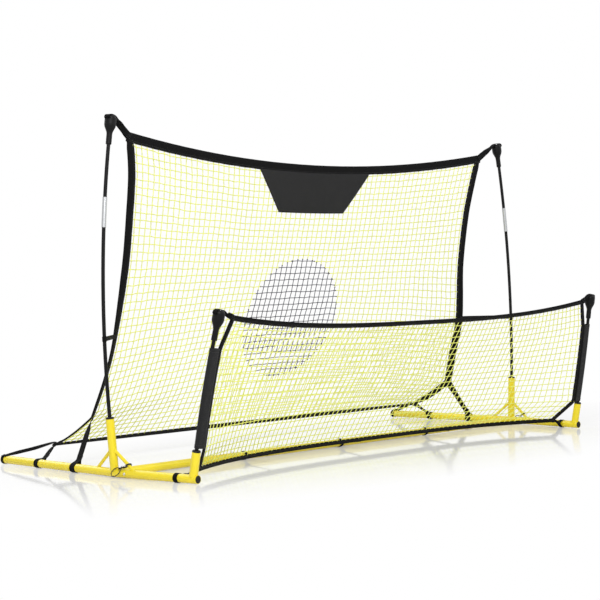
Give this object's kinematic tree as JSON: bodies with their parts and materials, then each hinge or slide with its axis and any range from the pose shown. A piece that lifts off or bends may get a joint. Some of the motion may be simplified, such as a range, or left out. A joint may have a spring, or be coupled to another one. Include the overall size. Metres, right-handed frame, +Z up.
{
  "type": "pitch back rebounder",
  "caption": "Two-sided lawn rebounder: steel base frame, sprung poles, a tall curved net with a round target and a low sloping net, both edged in webbing.",
  "frame": {"origin": "on the ground midway between the two T joints of the base frame", "axes": "+X to the right along the cross tube, -Y towards the low net, +Z up"},
  "size_m": [2.0612, 0.9557, 1.0554],
  "materials": {
    "yellow_tube": "satin powder coat",
    "black_plastic": "matte",
    "black_rubbery_plastic": "matte with a soft sheen",
    "fibreglass": "smooth pultruded rod",
    "bare_ferrule": "drawn tube, lightly brushed",
    "yellow_net": "knotted cord",
    "dark_net": "knotted cord",
    "panel_cloth": "plain woven cloth",
    "sleeve_cloth": "plain woven cloth",
    "black_webbing": "ribbed webbing",
    "plated_pin": "zinc plated",
    "black_hook": "black coated",
    "gate_spring_steel": "dark spring steel"
  },
  "bodies": {
    "frame": {"left_side_rail": "yellow_tube", "right_side_rail": "yellow_tube", "left_front_rail": "yellow_tube", "right_front_rail": "yellow_tube", "left_cross_arm": "yellow_tube", "right_cross_arm": "yellow_tube", "cross_tube": "yellow_tube", "left_main_post": "yellow_tube", "right_main_post": "yellow_tube", "left_low_post": "yellow_tube", "right_low_post": "yellow_tube", "left_braces": "yellow_tube", "right_braces": "yellow_tube", "end_plugs": "black_plastic", "post_collars": "black_plastic", "left_lower_pole": "fibreglass", "right_lower_pole": "fibreglass", "left_upper_pole": "fibreglass", "right_upper_pole": "fibreglass", "pole_ferrules": "bare_ferrule", "left_low_pole": "fibreglass", "right_low_pole": "fibreglass", "left_main_cap": "black_rubbery_plastic", "right_main_cap": "black_rubbery_plastic", "left_low_cap": "black_rubbery_plastic", "right_low_cap": "black_rubbery_plastic", "main_net": "yellow_net", "target_net": "dark_net", "top_panel": "panel_cloth", "main_top_binding": "black_webbing", "main_left_binding": "black_webbing", "main_right_binding": "black_webbing", "main_bottom_binding": "black_webbing", "left_corner_strap": "black_webbing", "right_corner_strap": "black_webbing", "mid_straps": "black_webbing", "left_knee_strap": "black_webbing", "right_knee_strap": "black_webbing", "heel_straps": "black_webbing", "tail_straps": "black_webbing", "low_net": "yellow_net", "low_top_binding": "black_webbing", "low_bottom_binding": "black_webbing", "left_low_binding": "black_webbing", "right_low_binding": "black_webbing", "left_sleeve": "sleeve_cloth", "right_sleeve": "sleeve_cloth", "low_corner_straps": "black_webbing", "foot_straps": "black_webbing", "cross_ties": "black_webbing"},
    "left_front_pin": {"left_front_button": "plated_pin"},
    "left_cross_pin": {"left_cross_button": "plated_pin"},
    "left_hook": {"left_snap_hook": "black_hook"},
    "left_gate": {"left_hook_gate": "gate_spring_steel"},
    "left_ring": {"left_anchor_ring": "black_hook"},
    "right_front_pin": {"right_front_button": "plated_pin"},
    "right_cross_pin": {"right_cross_button": "plated_pin"},
    "right_hook": {"right_snap_hook": "black_hook"},
    "right_gate": {"right_hook_gate": "gate_spring_steel"},
    "right_ring": {"right_anchor_ring": "black_hook"}
  },
  "joints": [
    {"name": "left_front_pin_press", "type": "slide", "parent": "frame", "child": "left_front_pin", "axis": [0.9962, 0.0872, 0], "range_m": [0, 0.0049], "stiffness_N_per_m": 800, "springref_m": -0.002},
    {"name": "left_cross_pin_press", "type": "slide", "parent": "frame", "child": "left_cross_pin", "axis": [0, 0, -1], "range_m": [0, 0.0049], "stiffness_N_per_m": 800, "springref_m": -0.002},
    {"name": "left_hook_swing", "type": "hinge", "parent": "frame", "child": "left_hook", "pos_m": [-0.9969, -0.05623, 0.03912], "axis": [-0.113, 0.7762, 0.6203], "range_deg": [0, 100]},
    {"name": "left_gate_spring", "type": "hinge", "parent": "left_hook", "child": "left_gate", "pos_m": [-1.01171, -0.0445, 0.03494], "axis": [0.1086, 0.4518, 0.8855], "range_deg": [0, 35], "stiffness_Nm_per_rad": 0.03, "springref_deg": -14.9},
    {"name": "left_ring_swing", "type": "hinge", "parent": "left_hook", "child": "left_ring", "pos_m": [-1.0099, -0.03293, 0.02882], "axis": [0.3691, 0.8353, 0.4076], "range_deg": [0, 80]},
    {"name": "right_front_pin_press", "type": "slide", "parent": "frame", "child": "right_front_pin", "axis": [-0.9962, 0.0872, 0], "range_m": [0, 0.0049], "stiffness_N_per_m": 800, "springref_m": -0.002},
    {"name": "right_cross_pin_press", "type": "slide", "parent": "frame", "child": "right_cross_pin", "axis": [0, 0, -1], "range_m": [0, 0.0049], "stiffness_N_per_m": 800, "springref_m": -0.002},
    {"name": "right_hook_swing", "type": "hinge", "parent": "frame", "child": "right_hook", "pos_m": [0.9969, -0.05623, 0.03912], "axis": [-0.113, -0.7762, -0.6203], "range_deg": [0, 100]},
    {"name": "right_gate_spring", "type": "hinge", "parent": "right_hook", "child": "right_gate", "pos_m": [1.01171, -0.0445, 0.03494], "axis": [0.1086, -0.4518, -0.8855], "range_deg": [0, 35], "stiffness_Nm_per_rad": 0.03, "springref_deg": -14.9},
    {"name": "right_ring_swing", "type": "hinge", "parent": "right_hook", "child": "right_ring", "pos_m": [1.0099, -0.03293, 0.02882], "axis": [0.3691, -0.8353, -0.4076], "range_deg": [0, 80]}
  ]
}
